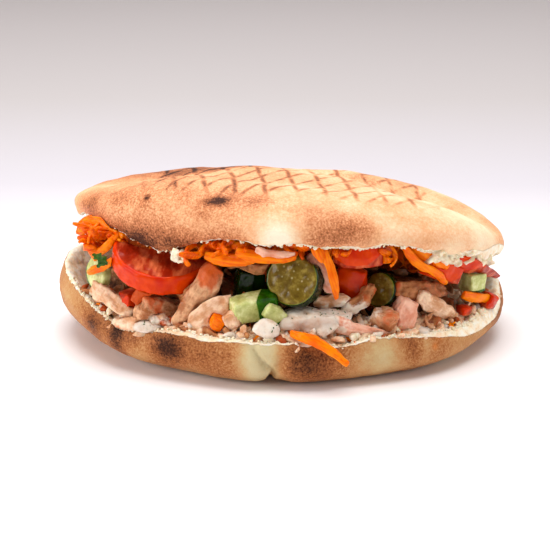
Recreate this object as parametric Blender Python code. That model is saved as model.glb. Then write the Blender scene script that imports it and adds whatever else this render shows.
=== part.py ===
"""Doner kebab sandwich: a round flatbread cut open like a clam, with its filling.

Metres, +Z up. The mouth of the bread faces -Y and the hinge is at the back right.
"""

import math

import bmesh
import bpy
from mathutils import Euler, Matrix, Vector, noise

# The loaf, as it lies closed, about its own centre.
HALF_WIDTH = 0.1005
HALF_DEPTH = 0.081
ROUNDNESS = 1.93
ROUNDER_AT_BACK = 0.12
FULLER = ((math.radians(-50), math.radians(28), 0.003),)
UNEVEN = ((3, 0.5, 0.0012), (7, 0.0, 0.0008))
AROUND = 54

# The base, from the table up to its cut rim.
RIM_HEIGHT = 0.027
RIM_LOWER_AT_RIGHT = 0.005
RIM_HIGHER_AT_BACK = 0.004
RIM_SAGS = (
    (math.radians(-95), math.radians(50), 0.003),
    (math.radians(-143), math.radians(20), 0.008),
    (math.radians(-25), math.radians(18), 0.004),
)
RIM_TORN = ((11, 0.0, 0.0008), (17, 1.0, 0.0006))
RIM_INSET = 0.0030
SHOULDER_INSET = 0.0010
SHOULDER_AT = 0.82
BASE_FLAT = 0.80
BASE_FLOOR = 0.0085
BASE_BELLY = 0.60
LIFTED_ENDS = ((math.radians(-158), math.radians(34), 1.0), (math.radians(-12), math.radians(22), 0.75))
LIFTED_FOOT = 0.15
LIFTED_BELLY = 0.16
PINCH_AT = math.radians(-92)
PINCH_SPREAD = math.radians(3.5)
PINCH_DEPTH = 0.007
PINCH_FADE = 0.14

# The lid, above its own cut rim.
LID_SHIFT = Vector((0.002, 0.001, 0.0))
LID_SIZE = 0.965
LID_WIDEST = 0.006
LID_CROWN = 0.029
LID_SHOULDER = 0.83
LID_FLAT = 0.60
LID_CEILING = 0.015
LID_EDGE = ((0.0025, 0.0, 1.0), (0.0008, 0.0027, 0.6))
LID_RIM_HILLS = (
    (math.radians(-56), math.radians(22), 0.004),
    (math.radians(-134), math.radians(13), -0.0085),
)
LID_TORN = ((13, 2.0, 0.0007), (23, 0.0, 0.0006))
LID_THINNER = (
    (math.radians(-6), math.radians(15), 0.006),
    (math.radians(32), math.radians(26), -0.0035),
    (math.radians(180), math.radians(27), 0.0085),
)
LUMPS = 0.0016

# The hinge, where base and lid stay joined.
HINGE_AT = math.radians(62)
HINGE_SPREAD = math.radians(46)
HINGE_HEIGHT = 0.0265
HINGE_BULGE = 0.0028
HINGE_DRAWN_IN = 0.007
HINGE_INSETS = (0.0035, 0.0130)
HINGE_BELOW_RIM = (0.005, 0.009)
HINGE_ABOVE_CUT = (0.005, 0.006)
HINGE_PIVOT_INSET = 0.004
OPENING = math.radians(12.5)

# Sections of the crumb: inset from the crust, then share of the depth of the hollow.
# The lid's has a third column, how closely it follows the lid's uneven rim.
DISH = ((0.0055, 0.97), (0.010, 0.72), (0.016, 0.36), (0.026, 0.10), (0.045, 0.0))
ROOF = ((0.0045, 0.02, 1.0), (0.009, 0.30, 0.7), (0.016, 0.62, 0.3), (0.028, 0.90, 0.0), (0.045, 1.0, 0.0))

# The filling: free space between touching pieces, and between the heaps and the crumb.
GAP = 0.00032
ROUGH_PER_METRE = 170
CLEARANCE = 0.0008
HEAP_AROUND = 32
HEAP_INSET = 0.022
MEAT_SPREAD = 0.006
HOLLOWS = (
    (math.radians(-112), math.radians(8), 0.010),
    (math.radians(-43), math.radians(7), 0.009),
    (math.radians(-140), math.radians(16), 0.008),
)
MIDDLE_INSET = 0.045

# What the pieces are made of: colour and roughness.
BREAD = ((0.78, 0.50, 0.26), 0.8)
CHICKEN = ((0.66, 0.40, 0.24), 0.5)
PALE_CHICKEN = ((0.80, 0.55, 0.42), 0.45)
CARROT = ((0.80, 0.25, 0.02), 0.35)
TOMATO = ((0.65, 0.10, 0.03), 0.25)
CUCUMBER = ((0.42, 0.45, 0.14), 0.3)
SAUCE = ((0.82, 0.76, 0.68), 0.3)


def bump(angle, middle, spread):
    """A smooth hill of height 1 about an angle, for shapes that change round the loaf."""
    away = (angle - middle + math.pi) % (2 * math.pi) - math.pi
    return math.exp(-((away / spread) ** 2))


def hills(angle, table):
    """Sum of hills about several angles, each row an angle, a spread and a height."""
    return sum(height * bump(angle, middle, spread) for middle, spread, height in table)


def waves(angle, table):
    """Sum of waves round the loaf, each row how many there are, a phase and a height."""
    return sum(height * math.sin(count * angle + phase) for count, phase, height in table)


def outline(angle):
    """Greatest radius of the loaf at an angle, seen from above."""
    c, s = math.cos(angle), math.sin(angle)
    power = ROUNDNESS + ROUNDER_AT_BACK * s
    spans = abs(c / HALF_WIDTH) ** power + abs(s / HALF_DEPTH) ** power
    return spans ** (-1 / power) + waves(angle, UNEVEN) + hills(angle, FULLER)


def rim_height(angle):
    """Height of the base's cut rim above the table."""
    tilt = RIM_HEIGHT - RIM_LOWER_AT_RIGHT * math.cos(angle) + RIM_HIGHER_AT_BACK * math.sin(angle)
    return tilt - hills(angle, RIM_SAGS) + waves(angle, RIM_TORN)


def lid_rim(angle):
    """Height of the lid's cut rim above the plane of the cut."""
    return hills(angle, LID_RIM_HILLS) + waves(angle, LID_TORN)


def at(angle, radius, height):
    return Vector((radius * math.cos(angle), radius * math.sin(angle), height))


def lumpy(point):
    """A point of the crust, moved up or down as baking leaves it."""
    return point + Vector((0.0, 0.0, LUMPS * noise.noise(point * 28)))


def opened(point):
    """Where a point of the closed lid goes when the lid turns up about the hinge."""
    toward = Vector((math.cos(HINGE_AT), math.sin(HINGE_AT), 0.0))
    hinge = outline(HINGE_AT) - HINGE_PIVOT_INSET
    along = point.dot(toward) - hinge
    side = Vector((point.x, point.y, 0.0)) - toward * (along + hinge)
    c, s = math.cos(OPENING), math.sin(OPENING)
    turned = hinge + along * c + point.z * s
    height = HINGE_HEIGHT + point.z * c - along * s
    return side + toward * turned + Vector((0.0, 0.0, height)) + LID_SHIFT


def base_outside(angle):
    """Section of the base's crust, from the edge of its flat foot up to the rim."""
    wide, rim = outline(angle), rim_height(angle)
    pinch = PINCH_DEPTH * bump(angle, PINCH_AT, PINCH_SPREAD)
    lifted = hills(angle, LIFTED_ENDS)
    foot, belly = (BASE_FLAT - LIFTED_FOOT * lifted) * wide, (BASE_BELLY + LIFTED_BELLY * lifted) * rim
    points = [at(angle, foot - pinch, 0.0)]
    for step in range(1, 6):
        turn = math.radians(18 * step)
        out = (wide - foot) * math.sin(turn) ** 0.95
        up = belly * (1 - math.cos(turn) ** 0.95)
        points.append(at(angle, foot + out - pinch * (1 - PINCH_FADE * step), up))
    points.append(at(angle, wide - SHOULDER_INSET - pinch * (1 - 6 * PINCH_FADE), SHOULDER_AT * rim))
    points.append(at(angle, wide - RIM_INSET, rim))
    return points


def reading(table, inset, column):
    """Value of one column of a section table at an inset from the crust."""
    inset = min(max(inset, table[0][0]), table[-1][0])
    for near, far in zip(table, table[1:]):
        if inset <= far[0]:
            share = (inset - near[0]) / (far[0] - near[0])
            return near[column] + (far[column] - near[column]) * share
    return table[-1][column]


def base_crumb(angle, inset):
    """Point of the base's crumb, at an inset from the crust."""
    rise = rim_height(angle) - BASE_FLOOR
    return at(angle, outline(angle) - inset, BASE_FLOOR + rise * reading(DISH, inset, 1))


def base_inside(angle):
    """Section of the base's crumb, from the rim down into the dish that holds the filling."""
    return [base_crumb(angle, row[0]) for row in DISH]


def lid_outside(angle):
    """Section of the lid's crust, from its rim up to the crown."""
    wide = LID_SIZE * outline(angle)
    crown = LID_FLAT * wide
    thin = hills(angle, LID_THINNER)
    shoulder = LID_SHOULDER * LID_CROWN - LID_WIDEST - thin
    points = [
        opened(at(angle, wide - inset, height + share * lid_rim(angle)))
        for inset, height, share in LID_EDGE
    ]
    for step in range(0, 6):
        turn = math.radians(18 * step)
        out = crown + (wide - crown) * math.cos(turn)
        points.append(lumpy(opened(at(angle, out, LID_WIDEST + shoulder * math.sin(turn)))))
    points.append(lumpy(opened(at(angle, 0.30 * wide, 0.97 * LID_CROWN - 0.4 * thin))))
    return points


def lid_crumb(angle, inset):
    """Point of the lid's crumb, at an inset from the crust."""
    height = LID_CEILING * reading(ROOF, inset, 1) + lid_rim(angle) * reading(ROOF, inset, 2)
    return opened(at(angle, LID_SIZE * outline(angle) - inset, height))


def lid_inside(angle):
    """Section of the lid's crumb, from the middle of its ceiling out to the rim."""
    return [lid_crumb(angle, row[0]) for row in reversed(ROOF)]


def remove(objects):
    for obj in list(objects):
        bpy.data.objects.remove(obj, do_unlink=True)


def material(name, finish):
    colour, roughness = finish
    made = bpy.data.materials.new(name)
    made.use_nodes = True
    shader = made.node_tree.nodes["Principled BSDF"]
    shader.inputs["Base Color"].default_value = (*colour, 1.0)
    shader.inputs["Roughness"].default_value = roughness
    shader.inputs["Metallic"].default_value = 0.0
    return made


def body(name, bm, finish):
    """Makes an object from a closed bmesh, with its faces pointing out."""
    bmesh.ops.recalc_face_normals(bm, faces=bm.faces)
    mesh = bpy.data.meshes.new(name)
    bm.to_mesh(mesh)
    bm.free()
    mesh.materials.append(material(name, finish))
    obj = bpy.data.objects.new(name, mesh)
    bpy.context.scene.collection.objects.link(obj)
    return obj


def turned_body(name, sections, finish, start=None, end=None):
    """A closed body from one section for each angle, all with the same number of points.

    Its ends close onto the points start and end, or with one flat face.
    """
    bm = bmesh.new()
    grid = [[bm.verts.new(point) for point in section] for section in sections]
    count = len(grid)
    for i in range(count):
        here, there = grid[i], grid[(i + 1) % count]
        for low, high in zip(range(len(here) - 1), range(1, len(here))):
            bm.faces.new((here[low], there[low], there[high], here[high]))
    for index, point in ((0, start), (-1, end)):
        ring = [column[index] for column in grid]
        if point is None:
            bm.faces.new(ring)
            continue
        tip = bm.verts.new(point)
        for i in range(count):
            bm.faces.new((ring[i], ring[(i + 1) % count], tip))
    return body(name, bm, finish)


def lofted_body(name, rings, finish):
    """A closed body through a row of rings of points, with flat ends."""
    bm = bmesh.new()
    grid = [[bm.verts.new(point) for point in ring] for ring in rings]
    count = len(grid[0])
    for here, there in zip(grid, grid[1:]):
        for j in range(count):
            k = (j + 1) % count
            bm.faces.new((here[j], there[j], there[k], here[k]))
    bm.faces.new(grid[0])
    bm.faces.new(grid[-1])
    return body(name, bm, finish)


def combine(target, other, operation):
    """Joins another closed body to target or cuts it away.

    The manifold solver is used because the exact one loses the loaf where its parts meet,
    and leaves slivers and sealed cavities in pieces that several neighbours cut.
    """
    change = target.modifiers.new("combine", "BOOLEAN")
    change.operation = operation
    change.solver = "MANIFOLD"
    change.object = other
    graph = bpy.context.evaluated_depsgraph_get()
    made = bpy.data.meshes.new_from_object(target.evaluated_get(graph))
    target.modifiers.clear()
    target.data = made


def hinge_body():
    """The strip of bread that still joins base and lid at the back, drawn in at its ends."""
    rings = []
    steps = 16
    for i in range(steps + 1):
        place = 2 * i / steps - 1
        angle = HINGE_AT + HINGE_SPREAD * place
        drawn_in = HINGE_DRAWN_IN * place**4
        wide, rim = outline(angle) - drawn_in, rim_height(angle)
        lid_wide = LID_SIZE * outline(angle) - drawn_in
        low_out, low_in = [
            at(angle, wide - inset, rim - below) for inset, below in zip(HINGE_INSETS, HINGE_BELOW_RIM)
        ]
        high_out, high_in = [
            opened(at(angle, lid_wide - inset, above)) for inset, above in zip(HINGE_INSETS, HINGE_ABOVE_CUT)
        ]
        outward = at(angle, 1.0, 0.0)
        middle_out = (low_out + high_out) / 2 + outward * HINGE_BULGE
        middle_in = (low_in + high_in) / 2 + outward * HINGE_BULGE
        rings.append((low_out, middle_out, high_out, high_in, middle_in, low_in))
    return lofted_body("hinge_strip", rings, BREAD)


def bread():
    """Base, lid and hinge of one loaf, as one body."""
    pinch = [PINCH_AT + PINCH_SPREAD * share for share in (-1.6, -0.5, 0.5, 1.6)]
    first = pinch[-1] - pinch[0]
    steps = [first + (2 * math.pi - first) * i / AROUND for i in range(1, AROUND)]
    angles = pinch + [pinch[0] + step for step in steps]
    base = turned_body(
        "bread",
        [base_outside(angle) + base_inside(angle) for angle in angles],
        BREAD,
        end=Vector((0.0, 0.0, BASE_FLOOR)),
    )
    lid = turned_body(
        "lid",
        [lid_inside(angle) + lid_outside(angle) for angle in angles],
        BREAD,
        start=opened(Vector((0.0, 0.0, LID_CEILING))),
        end=opened(Vector((0.0, 0.0, LID_CROWN))),
    )
    hinge = hinge_body()
    combine(lid, hinge, "UNION")
    combine(base, lid, "UNION")
    remove([lid, hinge])
    return base


def between(angle, inset, share):
    """Point in the hollow of the loaf, a share of the way from the base's crumb to the lid's."""
    low = base_crumb(angle, inset) + Vector((0.0, 0.0, CLEARANCE))
    high = lid_crumb(angle, inset) - Vector((0.0, 0.0, CLEARANCE))
    return low.lerp(high, share)


def heap_edge(angle):
    """How far in from the crust a heap of filling ends."""
    back = 0.006 * bump(angle, math.radians(152), math.radians(40))
    return HEAP_INSET - back + hills(angle, HOLLOWS) + 0.0022 * noise.noise(at(angle, 5.0, 0.0))


def heap(name, finish, shares, spread=0.0):
    """A heap of small pieces through the whole filling, from share low to share high of its depth.

    shares are those of the heap's lower middle, lower edge, upper edge and upper middle, and
    spread is how much further out its foot reaches away from the hinge.
    """
    low, low_edge, high_edge, high = shares
    sections = []
    for i in range(HEAP_AROUND):
        angle = 2 * math.pi * i / HEAP_AROUND
        edge = heap_edge(angle)
        bulge = 0.0015 * noise.noise(at(angle, 9.0, low))
        reach = spread * (0.5 - 0.5 * math.cos(angle - HINGE_AT))
        rim = [
            between(angle, edge + 0.005 - 0.6 * reach, low_edge),
            between(angle, edge + bulge - reach, 0.65 * low_edge + 0.35 * high_edge),
            between(angle, edge - bulge, 0.35 * low_edge + 0.65 * high_edge),
            between(angle, edge + 0.005, high_edge),
        ]
        sections.append([between(angle, MIDDLE_INSET, low), *rim, between(angle, MIDDLE_INSET, high)])
    floor = Vector((0.0, 0.0, BASE_FLOOR + CLEARANCE))
    roof = opened(Vector((0.0, 0.0, LID_CEILING - CLEARANCE)))
    start, end = floor.lerp(roof, low), floor.lerp(roof, high)
    return turned_body(name, sections, finish, start=start, end=end)


def mm(x, y, z):
    """A point given in millimetres."""
    return Vector((x, y, z)) / 1000


def roughened(point, amount):
    """A point moved a little, the same way each time, so that no piece looks machined."""
    place = point * ROUGH_PER_METRE
    shifts = (Vector((0.0, 0.0, 0.0)), Vector((31.4, 0.0, 7.1)), Vector((0.0, 47.2, 13.9)))
    return point + amount * Vector([noise.noise(place + shift) for shift in shifts])


def along(points, share):
    """Position on a smooth curve through points, a share of the way along it."""
    places = [2 * points[0] - points[1], *points, 2 * points[-1] - points[-2]]
    place = share * (len(points) - 1)
    i = min(int(place), len(points) - 2)
    t = place - i
    a, b, c, d = places[i : i + 4]
    return (2 * b + (c - a) * t + (2 * a - 5 * b + 4 * c - d) * t**2 + (3 * b - a - 3 * c + d) * t**3) / 2


def strip(name, finish, points, width, thickness, roll=0, narrow=0.8, square=0.8, rough=0.0006, steps=5):
    """A strip of food along a curve, its width facing the mouth of the bread before its roll.

    narrow is how wide its last end is beside its first, and square rounds its section off.
    """
    sides = 6
    rings = []
    for i in range(steps + 1):
        share = i / steps
        middle = along(points, share)
        tangent = (along(points, min(share + 0.02, 1.0)) - along(points, max(share - 0.02, 0.0))).normalized()
        across = tangent.cross(Vector((0.0, 1.0, 0.0))).normalized()
        across.rotate(Matrix.Rotation(math.radians(roll), 3, tangent))
        through = across.cross(tangent)
        size = (1 + (narrow - 1) * share) * (1 - 0.4 * abs(2 * share - 1) ** 5)
        ring = []
        for j in range(sides):
            turn = 2 * math.pi * (j + 0.5) / sides
            c, s = math.cos(turn), math.sin(turn)
            out = across * math.copysign(abs(c) ** square, c) * width * size / 2
            deep = through * math.copysign(abs(s) ** square, s) * thickness * size / 2
            ring.append(roughened(middle + out + deep, rough))
        rings.append(ring)
    return lofted_body(name, rings, finish)


def slice_of(name, finish, middle, radius, thickness, facing, spin, share=360, rough=0.0003):
    """A slice of something round, cut across, or the part of it that spans share degrees.

    facing is the way its cut face looks, and spin turns it in its own plane.
    """
    normal = Vector(facing).normalized()
    side = normal.cross(Vector((0.0, 0.0, 1.0))).normalized()
    up = side.cross(normal)
    steps = 13
    rings = []
    for depth, inset in ((-0.5, 0.0008), (-0.36, 0.0), (0.36, 0.0), (0.5, 0.0008)):
        ring = []
        for i in range(steps):
            turn = math.radians(spin + share * ((i + 0.5) / steps - 0.5))
            flat = side * math.cos(turn) + up * math.sin(turn)
            ring.append(roughened(middle + normal * depth * thickness + flat * (radius - inset), rough))
        rings.append(ring)
    return lofted_body(name, rings, finish)


def chunk(name, finish, middle, size, turn=(0, 0, 0), rough=0.0008, cuts=1, rounding=0.35):
    """A roughly cut block of length, depth and height size, in millimetres, with worn corners."""
    bm = bmesh.new()
    bmesh.ops.create_cube(bm, size=2.0)
    bmesh.ops.subdivide_edges(bm, edges=bm.edges, cuts=cuts, use_grid_fill=True)
    pose = Euler([math.radians(angle) for angle in turn]).to_matrix()
    for vert in bm.verts:
        round_one = vert.co.normalized() * 1.2
        shape = vert.co.lerp(round_one, rounding) * mm(*size) / 2
        vert.co = roughened(middle + pose @ shape, rough)
    return body(name, bm, finish)


def dollop(name, finish, middle, size, rough=0.0016):
    """A soft blob of length, depth and height size, in millimetres."""
    bm = bmesh.new()
    bmesh.ops.create_icosphere(bm, subdivisions=2, radius=1.0)
    for vert in bm.verts:
        vert.co = roughened(middle + vert.co * mm(*size) / 2, rough)
    return body(name, bm, finish)


def swollen(obj):
    """A cutter in a body's shape with its surface GAP further out."""
    bm = bmesh.new()
    bm.from_mesh(obj.data)
    bm.normal_update()
    moves = [vert.normal * min(vert.calc_shell_factor(), 2.0) * GAP for vert in bm.verts]
    for vert, move in zip(bm.verts, moves):
        vert.co += move
    cutter = body(obj.name + "_cutter", bm, BREAD)
    cutter.hide_render = True
    cutter.display_type = "WIRE"
    return cutter


def box_of(obj):
    corners = [Vector(vert.co) for vert in obj.data.vertices]
    return [(min(c[i] for c in corners), max(c[i] for c in corners)) for i in range(3)]


def near(one, other):
    """Whether two boxes come within GAP of each other."""
    return all(a[0] - GAP < b[1] and b[0] - GAP < a[1] for a, b in zip(one, other))


def keep_largest(obj):
    """Drops the scraps that cuts have left loose."""
    bm = bmesh.new()
    bm.from_mesh(obj.data)
    left = set(bm.faces)
    groups = []
    while left:
        stack = [left.pop()]
        group = []
        while stack:
            face = stack.pop()
            group.append(face)
            for edge in face.edges:
                for other in edge.link_faces:
                    if other in left:
                        left.discard(other)
                        stack.append(other)
        groups.append(group)
    groups.sort(key=lambda group: sum(face.calc_area() for face in group))
    for group in groups[:-1]:
        bmesh.ops.delete(bm, geom=group, context="FACES")
    bmesh.ops.delete(bm, geom=[vert for vert in bm.verts if not vert.link_faces], context="VERTS")
    bm.to_mesh(obj.data)
    bm.free()


def lay(pieces, cutters):
    """Cuts away from each piece what is laid before it, as cutters of their uncut shapes."""
    for piece in pieces:
        cutter = swollen(piece)
        for other in cutters:
            if near(box_of(piece), box_of(other)):
                combine(piece, other, "DIFFERENCE")
        keep_largest(piece)
        cutters.append(cutter)


def heaps():
    """What runs through the food: chopped meat below, and grated carrot and salad above."""
    return [
        heap("meat_heap", CHICKEN, (0.0, 0.0, 0.50, 0.54), spread=MEAT_SPREAD),
        heap("salad_heap", CARROT, (0.57, 0.53, 0.98, 1.0)),
    ]


def front_pieces():
    """Pieces that hang over the front rim or lie right behind it."""
    return [
        strip("carrot_stick", CARROT, [mm(4, -77, 24), mm(16, -82, 21), mm(27, -83, 13)], 0.0048, 0.0036),
        dollop("sauce_blob", SAUCE, mm(-6, -76, 25.5), (12, 8, 8)),
        dollop("sauce_left", SAUCE, mm(-55, -60, 20.5), (13, 8, 6)),
        strip(
            "chicken_rim_left", PALE_CHICKEN,
            [mm(-69, -49, 19), mm(-60, -56, 20), mm(-47, -60, 25)], 0.0075, 0.004, narrow=1.3,
        ),
        strip(
            "chicken_slice_pink", PALE_CHICKEN,
            [mm(21, -70, 27), mm(31, -70, 23), mm(46, -64, 19)], 0.011, 0.0032, roll=20, narrow=0.3,
        ),
        strip(
            "chicken_strip_big", CHICKEN,
            [mm(-26, -62, 48), mm(-34, -62, 35), mm(-44, -62, 21)], 0.0135, 0.009, narrow=0.6, steps=7,
        ),
        chunk("carrot_dice", CARROT, mm(-26, -69, 26), (5.5, 5, 5), (20, 30, 10)),
        chunk("chicken_dice", PALE_CHICKEN, mm(-20.5, -70, 27), (6, 5, 6.5), (10, 60, 20)),
        chunk("cucumber_chunk", CUCUMBER, mm(-11, -67, 32), (19, 9, 10), (10, -8, 12), rounding=0.2, cuts=2),
        chunk("cucumber_cube", CUCUMBER, mm(-3, -70, 30), (9, 7, 7), (0, 40, 20)),
        strip(
            "chicken_curl", PALE_CHICKEN,
            [mm(-37, -66, 22), mm(-30, -67, 28), mm(-19, -66, 34)], 0.011, 0.003, narrow=1.2,
        ),
        dollop("sauce_pool", SAUCE, mm(12, -67, 26), (38, 13, 11), rough=0.003),
        chunk("chicken_cube_right", CHICKEN, mm(43, -61, 25), (11, 8, 7), (10, 20, -30)),
    ]


def left_pieces():
    """Pieces in the left end of the mouth, from the front to the back."""
    return [
        slice_of("tomato_slice_left", TOMATO, mm(-50, -43, 46), 0.021, 0.009, (0.12, -0.34, 0.93), -62, 190),
        strip(
            "carrot_shred_left", CARROT,
            [mm(-82, -36, 37), mm(-75, -43, 42), mm(-66, -50, 49)], 0.004, 0.0025,
        ),
        strip(
            "carrot_curl_big", CARROT,
            [mm(-78, -38, 43), mm(-82, -32, 50), mm(-76, -37, 55), mm(-67, -44, 53)], 0.004, 0.002, steps=8,
        ),
        strip(
            "carrot_curl_low", CARROT,
            [mm(-82, -34, 52), mm(-78, -40, 48), mm(-73, -43, 51), mm(-70, -43, 55)], 0.0042, 0.002, steps=8,
        ),
        strip(
            "carrot_curl_top", CARROT,
            [mm(-86, -26, 52), mm(-81, -32, 59), mm(-74, -36, 58), mm(-66, -43, 55)], 0.005, 0.0022, steps=8,
        ),
        strip(
            "carrot_curl_back", CARROT,
            [mm(-87, -20, 50), mm(-84, -24, 56), mm(-78, -27, 59), mm(-71, -33, 60)], 0.006, 0.0022, steps=8,
        ),
        slice_of("cucumber_slab_left", CUCUMBER, mm(-78, -33, 36), 0.008, 0.004, (-0.8, -0.55, 0.15), 40),
        strip(
            "chicken_shred_left", PALE_CHICKEN,
            [mm(-81, -37, 31), mm(-71, -46, 28), mm(-62, -52, 24)], 0.008, 0.004, roll=-15, rough=0.0009,
        ),
        chunk("chicken_chunk_left", CHICKEN, mm(-51, -54, 26), (19, 9, 12), (5, 20, 30)),
        strip(
            "chicken_flap_left", CHICKEN,
            [mm(-61, -55, 31), mm(-56, -58, 36), mm(-50, -60, 38), mm(-44, -61, 37)], 0.0070, 0.004,
        ),
        chunk("tomato_piece_left", TOMATO, mm(-61, -45, 29), (14, 8, 7), (0, -5, 38)),
        strip(
            "chicken_flake_left", PALE_CHICKEN,
            [mm(-43, -57, 33), mm(-37, -59, 36), mm(-33, -57, 39)], 0.006, 0.003,
        ),
    ]


def middle_pieces():
    """Pieces in the middle of the mouth, from the front to the back."""
    return [
        slice_of(
            "cucumber_half", CUCUMBER, mm(6, -64, 43), 0.0115, 0.009, (-0.35, -0.9, 0.3), -65, 320,
        ),
        strip(
            "carrot_hanging", CARROT,
            [mm(17, -68, 57), mm(21, -69, 47), mm(23, -69, 36)], 0.0048, 0.0025, narrow=0.7,
        ),
        strip(
            "carrot_hanging_short", CARROT,
            [mm(13, -68, 58), mm(17, -69, 54), mm(21, -68, 49)], 0.0055, 0.0025, narrow=0.7,
        ),
        strip(
            "tomato_strip", TOMATO,
            [mm(22, -64, 53), mm(33, -63, 52), mm(46, -57, 52)], 0.010, 0.005, narrow=0.9, square=0.6,
        ),
        strip(
            "carrot_upper_left", CARROT,
            [mm(-31, -63, 53), mm(-21, -65, 51), mm(-10, -66, 52)], 0.006, 0.0025,
        ),
        strip(
            "carrot_upper_middle", CARROT,
            [mm(-18, -68, 56), mm(-6, -69, 53), mm(6, -67, 53)], 0.0055, 0.0025,
        ),
        strip(
            "chicken_upper_flake", PALE_CHICKEN,
            [mm(-10, -70, 57), mm(-2, -70, 55), mm(6, -69, 55)], 0.004, 0.0025, roll=20,
        ),
        strip(
            "chicken_upper_middle", PALE_CHICKEN,
            [mm(13, -63, 54), mm(18, -64, 46), mm(20, -64, 38)], 0.009, 0.006, narrow=0.7, rough=0.0008,
        ),
        strip(
            "chicken_upper_strip", CHICKEN,
            [mm(-22, -58, 49), mm(-9, -61, 47), mm(5, -61, 48)], 0.007, 0.004, roll=25, rough=0.001,
        ),
        chunk("cucumber_shaded", CUCUMBER, mm(-13, -56, 38), (12, 7, 12), (0, 10, 20)),
        chunk("chicken_flake_middle", CHICKEN, mm(-15, -61, 31), (8, 7, 8), (0, 30, 10)),
        strip(
            "chicken_shred_middle", CHICKEN,
            [mm(26, -61, 27), mm(33, -60, 33), mm(38, -56, 38)], 0.0075, 0.004, roll=20, rough=0.0009,
        ),
        strip(
            "chicken_shred_low", PALE_CHICKEN,
            [mm(14, -61, 32), mm(23, -61, 33), mm(32, -59, 29)], 0.006, 0.005, rough=0.0009,
        ),
        chunk("tomato_inner", TOMATO, mm(29, -52, 38), (13, 8, 14), (0, 15, -10)),
        slice_of("cucumber_slice_middle", CUCUMBER, mm(42, -50, 34), 0.0075, 0.004, (-0.5, -0.8, 0.3), 0),
    ]


def right_pieces():
    """Pieces in the right end of the mouth, from the front to the back."""
    return [
        strip(
            "chicken_strip_right", PALE_CHICKEN,
            [mm(57, -52, 32), mm(66, -47, 26), mm(75, -40, 18)], 0.0085, 0.005, narrow=0.8, rough=0.0008,
        ),
        chunk("chicken_chunk_right", PALE_CHICKEN, mm(51, -56, 26), (9, 8, 13), (0, 20, 25), rough=0.0009),
        strip(
            "chicken_flake_right", CHICKEN,
            [mm(47, -54, 34), mm(57, -49, 34), mm(70, -40, 31)], 0.009, 0.004, roll=-20, rough=0.0008,
        ),
        strip("carrot_end_right", CARROT, [mm(78, -38, 28), mm(86, -30, 24), mm(92, -22, 21)], 0.005, 0.003),
        chunk("cucumber_cube_right", CUCUMBER, mm(83, -29, 31), (10, 8, 8), (0, 5, 42), rounding=0.2),
        chunk("tomato_bit_rim", TOMATO, mm(91, -23, 20), (7, 6, 8), (15, 20, 50)),
        chunk("tomato_bit_front", TOMATO, mm(79, -37, 21), (6, 5, 4), (15, 0, 40)),
        strip(
            "carrot_shred_right", CARROT,
            [mm(51, -58, 55), mm(57, -55, 47), mm(65, -49, 41), mm(70, -44, 35)], 0.0045, 0.0025, steps=7,
        ),
        strip(
            "carrot_strand_right", CARROT,
            [mm(54, -55, 56), mm(61, -51, 49), mm(70, -46, 43)], 0.0055, 0.003,
        ),
        strip(
            "tomato_slice_right", TOMATO,
            [mm(71, -43, 46), mm(83, -32, 39), mm(96, -12, 28)], 0.012, 0.005,
            roll=15, narrow=0.35, square=0.5,
        ),
        chunk("tomato_chunk_right", TOMATO, mm(68, -42, 43), (21, 8, 13), (5, 22, 40), rounding=0.2),
    ]


def settle(objects):
    """Moves everything so that it stands on z = 0 with its box centred on the origin."""
    boxes = [box_of(obj) for obj in objects]
    low = [min(box[i][0] for box in boxes) for i in range(3)]
    high = [max(box[i][1] for box in boxes) for i in range(3)]
    shift = Vector(((low[0] + high[0]) / 2, (low[1] + high[1]) / 2, low[2]))
    for obj in objects:
        obj.data.transform(Matrix.Translation(-shift))


def main():
    remove(bpy.data.objects)
    core = [bread(), *heaps()]
    cutters = [swollen(obj) for obj in core]
    pieces = [*front_pieces(), *middle_pieces(), *left_pieces(), *right_pieces()]
    lay(pieces, cutters)
    remove(cutters)
    settle(core + pieces)


main()
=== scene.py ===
"""Looks of a doner kebab sandwich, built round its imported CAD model. Metres, +Z up, mouth facing -Y."""
import itertools
import math

import bmesh
import bpy
import numpy as np
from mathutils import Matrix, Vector
from mathutils.bvhtree import BVHTree


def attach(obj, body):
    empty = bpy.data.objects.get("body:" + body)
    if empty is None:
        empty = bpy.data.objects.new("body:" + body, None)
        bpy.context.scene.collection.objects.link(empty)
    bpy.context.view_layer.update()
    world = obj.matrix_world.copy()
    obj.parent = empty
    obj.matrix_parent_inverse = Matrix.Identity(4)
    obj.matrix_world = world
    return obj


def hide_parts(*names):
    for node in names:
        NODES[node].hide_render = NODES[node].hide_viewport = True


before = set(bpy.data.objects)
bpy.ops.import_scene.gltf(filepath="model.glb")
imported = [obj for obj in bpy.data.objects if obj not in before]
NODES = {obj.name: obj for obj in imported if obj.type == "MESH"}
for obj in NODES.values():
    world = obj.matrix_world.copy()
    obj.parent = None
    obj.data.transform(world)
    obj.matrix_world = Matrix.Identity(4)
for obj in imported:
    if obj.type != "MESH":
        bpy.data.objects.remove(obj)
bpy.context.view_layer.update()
MM = 0.001

# Camera, as the picture is taken.
AIM = Vector((-0.0030, 0.0024, 0.0252))
CAMERA_ELEVATION = math.radians(17)
CAMERA_DISTANCE = 0.75
LENS = 109.1
SENSOR = 36.0

# The loaf as the CAD has it: half its length and depth, where its hinge is, and how far the lid is
# turned up.
HALF_LENGTH = 0.1005
HALF_DEPTH = 0.081
HINGE_DEGREES = 62
HINGE_AT = math.radians(HINGE_DEGREES)
HINGE_REACH = 0.080
HINGE_HEIGHT = 0.0265
OPENING = math.radians(12.5)

# How fine the meshes of the bread and of the filling's cores are.
BREAD_VOXEL = 1.27 * MM
CORE_VOXEL = 1.3 * MM

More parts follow.
